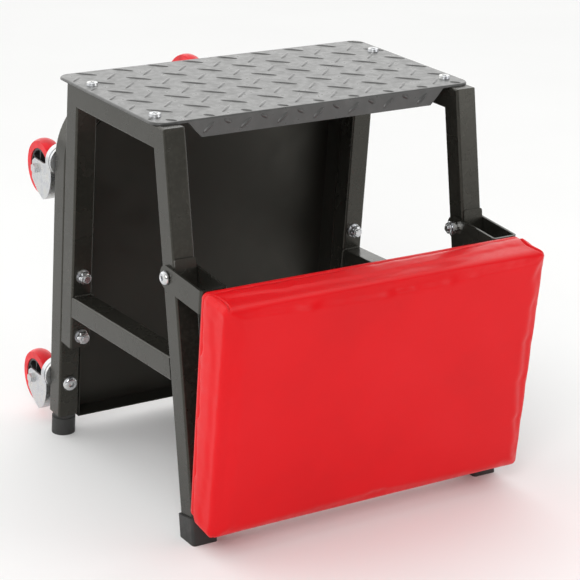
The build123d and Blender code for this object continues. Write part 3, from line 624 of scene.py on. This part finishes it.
def inflate(thing):
    """Cloth under air pressure, held at its back; how far a point may move is capped."""
    start = [v.co.copy() for v in thing.data.vertices]
    held = thing.vertex_groups.new(name="held")
    for i, p in enumerate(start):
        if p.dot(FORWARD) < back + HELD_DEPTH:
            held.add([i], 1.0, "REPLACE")
    cloth = thing.modifiers.new("air", "CLOTH")
    settings = cloth.settings
    settings.vertex_group_mass = "held"
    settings.use_pressure = True
    settings.uniform_pressure_force = AIR_PRESSURE
    settings.effector_weights.gravity = 0
    settings.quality = 6
    settings.mass = 0.4
    settings.tension_stiffness = settings.compression_stiffness = 40
    settings.bending_stiffness = 3
    for step in range(1, AIR_FRAMES + 1):
        bpy.context.scene.frame_set(step)
    graph = bpy.context.evaluated_depsgraph_get()
    moved = [v.co.copy() for v in thing.evaluated_get(graph).data.vertices]
    thing.modifiers.remove(cloth)
    bpy.context.scene.frame_set(1)
    # the seams hold the sides nearly straight, so most of the swelling is forwards
    for vertex, old, new in zip(thing.data.vertices, start, moved):
        forwards = (new - old).dot(FORWARD)
        sideways = (new - old) - FORWARD * forwards
        vertex.co = (old + FORWARD * max(-SIDE_CAP, min(PAD_CAP, forwards))
                     + sideways * min(1.0, SIDE_CAP / max(sideways.length, 1e-9)))


def fit_to_cover(thing):
    """Stretches the swollen pad so that its sides, top and base lie just past the CAD cover's."""
    points = [v.co for v in thing.data.vertices]
    low, high = reach(points, ACROSS)
    scale_u = 2 * (half_width + PAD_GROWTH) / (high - low)
    depth = max(front_at_top, front_at_base) + PAD_GROWTH - back
    scale_w = depth / (reach(points, FORWARD)[1] - back)
    base, top = reach(points, UP_LEAN)
    floor_v = front_base - 2 * PAD_GROWTH
    scale_v = (rear_top + PAD_GROWTH - floor_v) / (top - base)
    for vertex in thing.data.vertices:
        u, v, w = vertex.co.x, vertex.co.dot(UP_LEAN), vertex.co.dot(FORWARD)
        vertex.co = pad_point((u - (low + high) / 2) * scale_u, floor_v + (v - base) * scale_v,
                              back + (w - back) * scale_w)


FOLD_REACH = 14 * MM               # how far from a fold's line the vinyl moves
FOLD_RINGS = (13 * MM, 7 * MM)     # each ring halves the mesh inside it
FOLD_WIDTH = 1.2 * MM
GROOVE_WIDTH = 1.1 * MM
FOLD_POINTS = 24
FOLD_BOW = 6.5 * MM
FLAP_RISE = 1.3 * MM
GROOVE_DEPTH = 1.5 * MM


def tuck_curves():
    """Folds of spare vinyl at the four corners: bowed lines from the rear corner to the front one."""
    curves = []
    for side in (-1, 1):
        for top in (True, False):
            v_rear, v_front = (rear_top, front_top) if top else (rear_base, front_base)
            w_end = (front_at_top if top else front_at_base) - 4 * MM
            line = []
            for k in range(FOLD_POINTS + 1):
                t = k / FOLD_POINTS
                bow = math.sin(math.pi * t) ** 0.8 * FOLD_BOW
                u = side * (half_width - 1.5 * MM - bow - 2 * MM * t)
                line.append(pad_point(u, v_rear + (v_front - v_rear) * t, back + (w_end - back) * t))
            curves.append((side, line))
    return curves


def fold_corners(thing):
    """Refines the mesh round each fold and presses the fold in beside its raised flap."""
    shape = bmesh.new()
    shape.from_mesh(thing.data)
    curves = tuck_curves()

    def gap(p, line):
        return min(((p - q).length, k) for k, q in enumerate(line))

    for margin in FOLD_RINGS:
        near = [e for e in shape.edges
                if any(gap((e.verts[0].co + e.verts[1].co) / 2, line)[0] < margin for _, line in curves)]
        bmesh.ops.subdivide_edges(shape, edges=near, cuts=1, use_grid_fill=True)
    shape.normal_update()
    moves = {}
    for vertex in shape.verts:
        for side, line in curves:
            distance, k = gap(vertex.co, line)
            if distance > FOLD_REACH:
                continue
            outward = side * (vertex.co.x - line[k].x)
            fade = min(1.0, k / 3, (len(line) - 1 - k) / 3 + 0.3) * (1 - distance / FOLD_REACH)
            flap = FLAP_RISE * max(0.0, min(1.0, outward / FOLD_WIDTH))
            groove = GROOVE_DEPTH * math.exp(-(outward / GROOVE_WIDTH) ** 2)
            moves[vertex] = vertex.normal * (flap - groove) * fade
    for vertex, move in moves.items():
        vertex.co += move
    shape.to_mesh(thing.data)
    shape.free()


PULL_DEPTH = 26 * MM
PULL_BAND = 6 * MM                 # how near the pad's outline the pulls show
PULL_PITCH = 31 * MM
PULL_HEIGHT = 0.3 * MM


def pull_sides(thing):
    """Soft pulls where the vinyl is drawn to the board, along the rear edge of each side."""
    for vertex in thing.data.vertices:
        depth = vertex.co.dot(FORWARD) - back
        v = vertex.co.dot(UP_LEAN)
        edge = max(abs(vertex.co.x) - half_width, v - rear_top, rear_base - v) + PULL_BAND
        if edge < 0 or depth > PULL_DEPTH:
            continue
        along = vertex.co.x + v * 1.3
        uneven = noise.noise(Vector((along * 45, depth * 30, 2.0)))
        wave = math.sin(along * 2 * math.pi / PULL_PITCH) + 0.8 * uneven
        fade = max(0.0, 1 - depth / PULL_DEPTH) ** 1.3
        vertex.co += vertex.normal * wave * fade * PULL_HEIGHT


cushion = piece("seat_cushion", wedge, "seat", "red_vinyl", smooth=180)
remesh = cushion.modifiers.new("even_mesh", "REMESH")
remesh.mode = "VOXEL"
remesh.voxel_size = PAD_VOXEL
remesh.use_smooth_shade = True
bpy.context.view_layer.objects.active = cushion
cushion.select_set(True)
bpy.ops.object.modifier_apply(modifier=remesh.name)
inflate(cushion)
fit_to_cover(cushion)
pull_sides(cushion)
finer = cushion.modifiers.new("finer", "SUBSURF")
finer.levels = finer.render_levels = 1
bpy.ops.object.modifier_apply(modifier=finer.name)
fold_corners(cushion)
cushion.data.shade_smooth()
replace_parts(cushion, "seat_cover", "seat_foam")


# ---------------------------------------------------------------- the vinyl's turned-in edge
WRAP_CORNER = 7 * MM
WRAP_SHEET = 0.5 * MM
GATHER = 0.3 * MM
LONG_RUN, SHORT_RUN = 70, 44       # points along the straight sides
STAPLE_INSET = 9 * MM
STAPLE_HALF = 4.6 * MM
WIRE_HALF = 0.35 * MM
# the vinyl's section round the board's rim: inset from the pad's outline and depth, millimetres
WRAP_PROFILE = ((1.4, -3.0), (0.6, -1.0), (0.1, 2.0), (0.7, 4.8), (2.2, 6.4), (4.5, 6.6),
                (10.0, 6.6), (16.0, 6.55), (17.0, 6.4), (17.2, 5.9))


def wrap_outline(inset, depth):
    """Points round the pad's back edge, drawn in, at a depth behind the cushion."""
    half_u = half_width - inset
    half_v = (rear_top - rear_base) / 2 - inset
    corner = max(WRAP_CORNER - inset, 1.5 * MM)
    points = []
    ways = ((1, 1, LONG_RUN), (-1, 1, SHORT_RUN), (-1, -1, LONG_RUN), (1, -1, SHORT_RUN))
    for turn, (su, sv, run) in enumerate(ways):
        centre = Vector((su * (half_u - corner), sv * (half_v - corner)))
        arc = [centre + corner * Vector((math.cos(t), math.sin(t)))
               for t in (math.pi / 2 * (turn + k / 6) for k in range(7))]
        # the straight run on to the next corner
        along = Vector((-2 * centre.x, 0)) if su == sv else Vector((0, -2 * centre.y))
        points += arc + [arc[-1] + along * (k / run) for k in range(1, run)]
    return [pad_point(p.x, rear_middle + p.y, back - depth) for p in points]


def wrap(shape):
    """The vinyl's edge, turned over the board's rim and pulled flat, with small gathers."""
    rings = []
    for inset, depth in WRAP_PROFILE:
        ring = []
        for i, p in enumerate(wrap_outline(inset * MM, depth * MM)):
            gather = GATHER * noise.noise(Vector((i * 0.45, inset * 0.1, 7.0))) if depth > 5 else 0.0
            ring.append(shape.verts.new(p - FORWARD * gather))
        rings.append(ring)
    for low, high in zip(rings, rings[1:]):
        for i in range(len(low)):
            j = (i + 1) % len(low)
            shape.faces.new((low[i], low[j], high[j], high[i]))


def staples(shape):
    """Wire staples through the turned-in vinyl, clear of the straps."""
    spots = [(side * (half_width - STAPLE_INSET), rear_middle + k * 34 * MM, UP_LEAN)
             for side in (-1, 1) for k in range(-3, 3)]
    spots += [(k * 36 * MM, edge, ACROSS) for k in range(-4, 5)
              for edge in (rear_top - STAPLE_INSET, rear_base + STAPLE_INSET)]
    for u, v, along in spots:
        centre = pad_point(u, v, back - 7 * MM)
        side = FORWARD.cross(along)
        low = [centre + along * (a * STAPLE_HALF) + side * (b * WIRE_HALF)
               for a, b in ((-1, -1), (1, -1), (1, 1), (-1, 1))]
        high = [centre + (p - centre) * 0.93 - FORWARD * 0.5 * MM for p in low]
        rings = [[shape.verts.new(p + FORWARD * 0.5 * MM) for p in low],
                 [shape.verts.new(p) for p in low], [shape.verts.new(p) for p in high]]
        for lower, upper in zip(rings, rings[1:]):
            for i in range(4):
                shape.faces.new((lower[i], lower[(i + 1) % 4], upper[(i + 1) % 4], upper[i]))
        shape.faces.new(rings[-1])
        shape.faces.new(rings[0][::-1])


turned_in = piece("vinyl_turn_in", wrap, "seat", "red_vinyl", smooth=60)
thick = turned_in.modifiers.new("thick", "SOLIDIFY")
thick.thickness = WRAP_SHEET
thick.offset = -1
piece("vinyl_staples", staples, "seat", "zinc")


# ---------------------------------------------------------------- floor, lights and camera
def sheet_material(name, colour):
    s = Shader(name, 0.9)
    s.colour(s.ramp(s.noise(3, 2), [(0.3, shade(colour, 0.985)), (0.7, colour)]))
    return s.material


floor_mesh = bpy.data.meshes.new("floor")
FLOOR = 12.0
floor_mesh.from_pydata([(-FLOOR, -FLOOR, 0), (FLOOR, -FLOOR, 0), (FLOOR, FLOOR, 0), (-FLOOR, FLOOR, 0)], [],
                       [(0, 1, 2, 3)])
floor = bpy.data.objects.new("floor", floor_mesh)
floor_mesh.materials.append(sheet_material("pale_floor", (0.93, 0.93, 0.93)))
bpy.context.scene.collection.objects.link(floor)

# a studio that is bright behind the object and dim on the camera's side
world = bpy.data.worlds.new("studio")
bpy.context.scene.world = world
world.use_nodes = True
sky = world.node_tree
direction = sky.nodes.new("ShaderNodeTexCoord").outputs["Generated"]
split = sky.nodes.new("ShaderNodeSeparateXYZ")
sky.links.new(direction, split.inputs["Vector"])
span = sky.nodes.new("ShaderNodeMapRange")
limits = {"From Min": -0.6, "From Max": 0.75, "To Min": 0.35, "To Max": 1.7}
for socket, value in limits.items():
    span.inputs[socket].default_value = value
sky.links.new(split.outputs["Y"], span.inputs["Value"])
sky.links.new(span.outputs["Result"], sky.nodes["Background"].inputs["Strength"])
sky.nodes["Background"].inputs["Color"].default_value = (1.0, 1.0, 0.99, 1.0)


def softbox(name, spot, target, size, power):
    light = bpy.data.lights.new(name, "AREA")
    light.shape = "RECTANGLE"
    light.size, light.size_y = size
    light.energy = power
    thing = bpy.data.objects.new(name, light)
    thing.location = spot
    thing.rotation_mode = "QUATERNION"
    thing.rotation_quaternion = (Vector(target) - Vector(spot)).to_track_quat("-Z", "Y")
    bpy.context.scene.collection.objects.link(thing)


softbox("key", (-1.6, -1.9, 1.8), (0, 0, 0.2), (1.2, 1.2), 26)
softbox("fill", (1.8, -1.9, 0.9), (0, -0.1, 0.2), (1.0, 1.0), 9)

# viewpoint: three-quarter front from the left, slightly above
AZIMUTH, ELEVATION, ROLL = math.radians(-32.402), math.radians(19.747), math.radians(1.637)
DISTANCE = 2.414
AIM = Vector((40.25, 20.6, 178.75)) * MM
LENS, SENSOR = 132.83, 36.0
behind = Vector((math.sin(AZIMUTH) * math.cos(ELEVATION), -math.cos(AZIMUTH) * math.cos(ELEVATION),
                 math.sin(ELEVATION)))
right = Vector((math.cos(AZIMUTH), math.sin(AZIMUTH), 0))
up = behind.cross(right)
rolled = right * math.cos(ROLL) + up * math.sin(ROLL)
camera_data = bpy.data.cameras.new("camera")
camera_data.lens, camera_data.sensor_width = LENS, SENSOR
camera = bpy.data.objects.new("camera", camera_data)
camera.matrix_world = (Matrix.Translation(AIM + behind * DISTANCE)
                       @ Matrix((rolled, behind.cross(rolled), behind)).transposed().to_4x4())
bpy.context.scene.collection.objects.link(camera)
bpy.context.scene.camera = camera
bpy.context.scene.view_settings.view_transform = "Standard"
